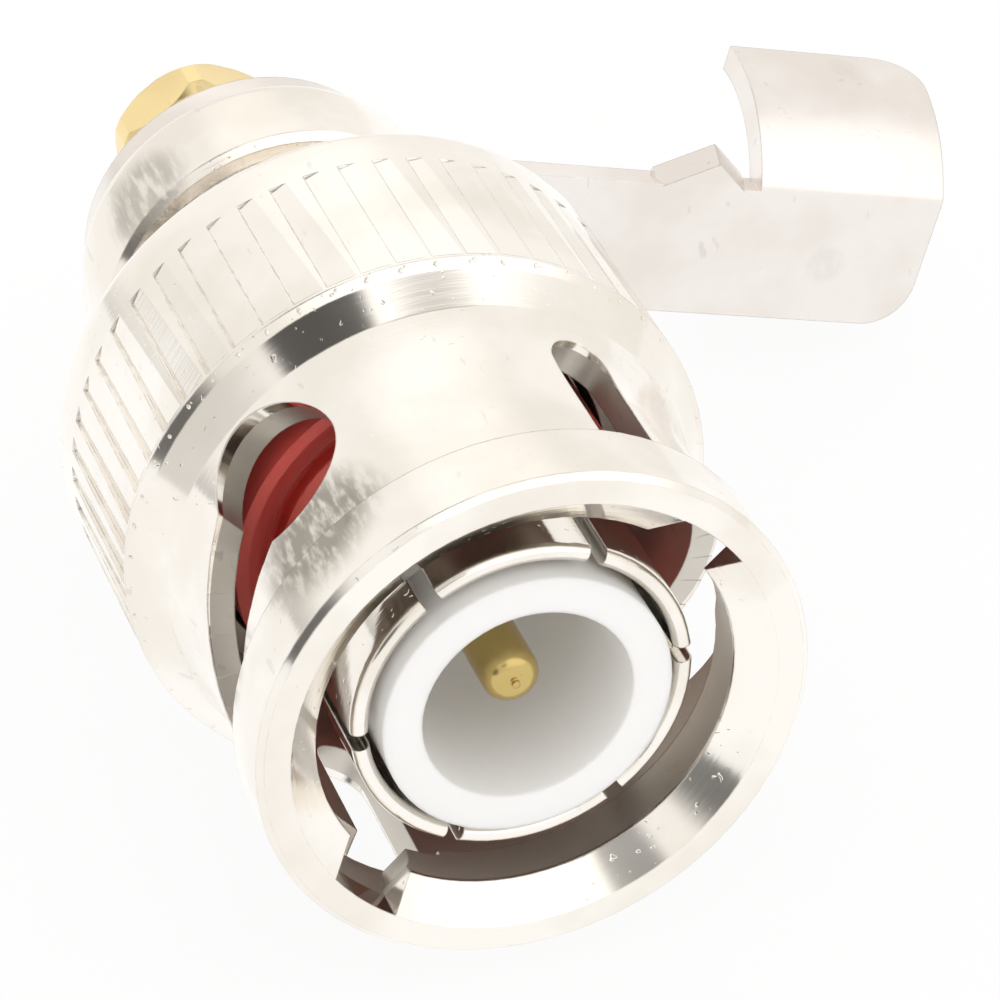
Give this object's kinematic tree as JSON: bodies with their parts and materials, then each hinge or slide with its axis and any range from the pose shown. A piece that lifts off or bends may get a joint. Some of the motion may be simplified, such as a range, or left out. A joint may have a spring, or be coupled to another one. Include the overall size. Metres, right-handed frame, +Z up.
{
  "type": "bnc connector",
  "caption": "Male bayonet coaxial plug with a knurled coupling nut, slotted outer contact, gold centre pin and a crimp tongue for the cable.",
  "frame": {"origin": "on the connector axis, at the centre of the coupling nut's front rim", "axes": "-Y points out of the mating end along the connector axis, +Y towards the solder cup, +X towards the side that the cord-grip tongue stands on, +Z up as the plug lies"},
  "size_m": [0.0269, 0.0266, 0.0142],
  "materials": {
    "nickel": "bright nickel plating",
    "contact": "bright nickel plating on bronze",
    "gold": "thin gold plating, satin",
    "ptfe": "white, waxy",
    "silicone": "dull red",
    "spring": "plain"
  },
  "bodies": {
    "plug": {"outer_contact": "contact", "gasket": "silicone", "front_dielectric": "ptfe", "centre_pin": "gold", "rear_body": "nickel", "front_washer": "spring", "wave_washer": "spring", "rear_insulator": "ptfe", "solder_cup": "gold", "cord_grip": "nickel"},
    "washer": {"thrust_washer": "spring"},
    "nut": {"coupling_nut": "nickel"}
  },
  "joints": [
    {"name": "nut_pull", "type": "slide", "parent": "plug", "child": "washer", "axis": [0, -1, 0], "range_m": [0, 0.0006], "stiffness_N_per_m": 2000, "deforming": ["wave_washer"]},
    {"name": "nut_spin", "type": "hinge", "parent": "washer", "child": "nut", "pos_m": [0, 0.0125, 0], "axis": [0, 1, 0], "continuous": true}
  ]
}
